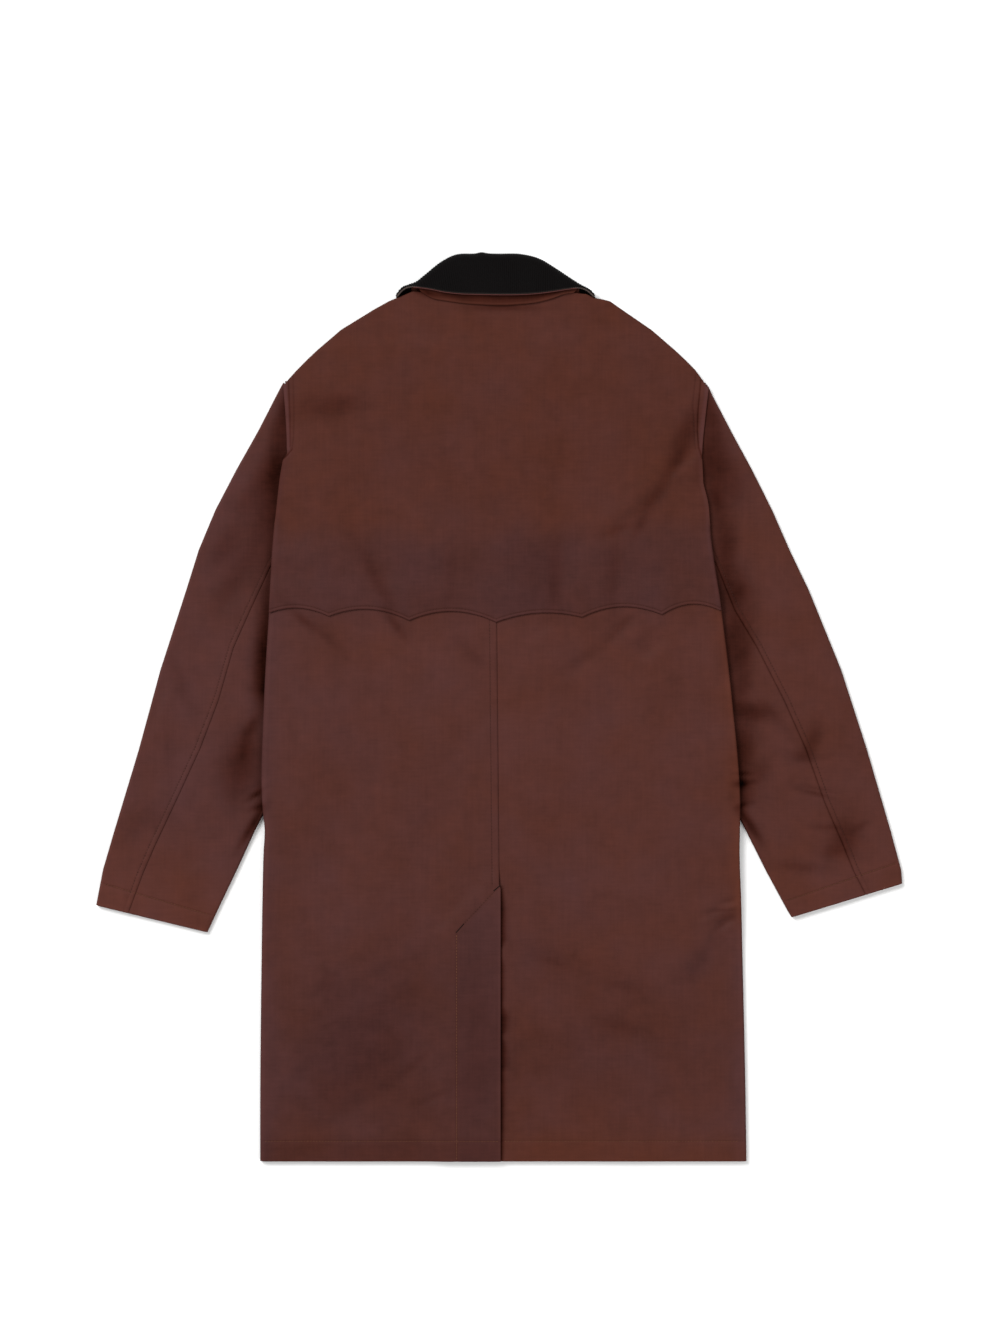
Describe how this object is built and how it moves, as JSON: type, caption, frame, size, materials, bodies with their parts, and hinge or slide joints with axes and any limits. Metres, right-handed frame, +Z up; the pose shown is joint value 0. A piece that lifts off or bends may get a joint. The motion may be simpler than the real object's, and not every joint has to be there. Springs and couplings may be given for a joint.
{
  "type": "waxed cotton coat laid flat",
  "caption": "Knee-length waxed cotton coat laid flat, back up: scalloped back yoke, centre seam with a lapped vent, two-piece sleeves and a folded corduroy collar.",
  "frame": {"origin": "middle of the coat's outline, on the surface that it lies on", "axes": "+X to the right of the picture, +Y from hem to collar, +Z up from the surface, out of the coat's back"},
  "size_m": [0.9682, 1.089, 0.0176],
  "materials": {
    "waxed_cotton": "waxed plain-weave cotton, red-brown, soft sheen",
    "corduroy": "black cotton corduroy with a short pile"
  },
  "bodies": {
    "root": {"back_yoke": "waxed_cotton", "back_left": "waxed_cotton", "back_right": "waxed_cotton", "front_left": "waxed_cotton", "front_right": "waxed_cotton", "sleeve_left_top": "waxed_cotton", "sleeve_left_under": "waxed_cotton", "sleeve_right_top": "waxed_cotton", "sleeve_right_under": "waxed_cotton", "under_collar": "waxed_cotton", "collar_stand": "waxed_cotton", "collar_fall": "corduroy"}
  },
  "joints": []
}
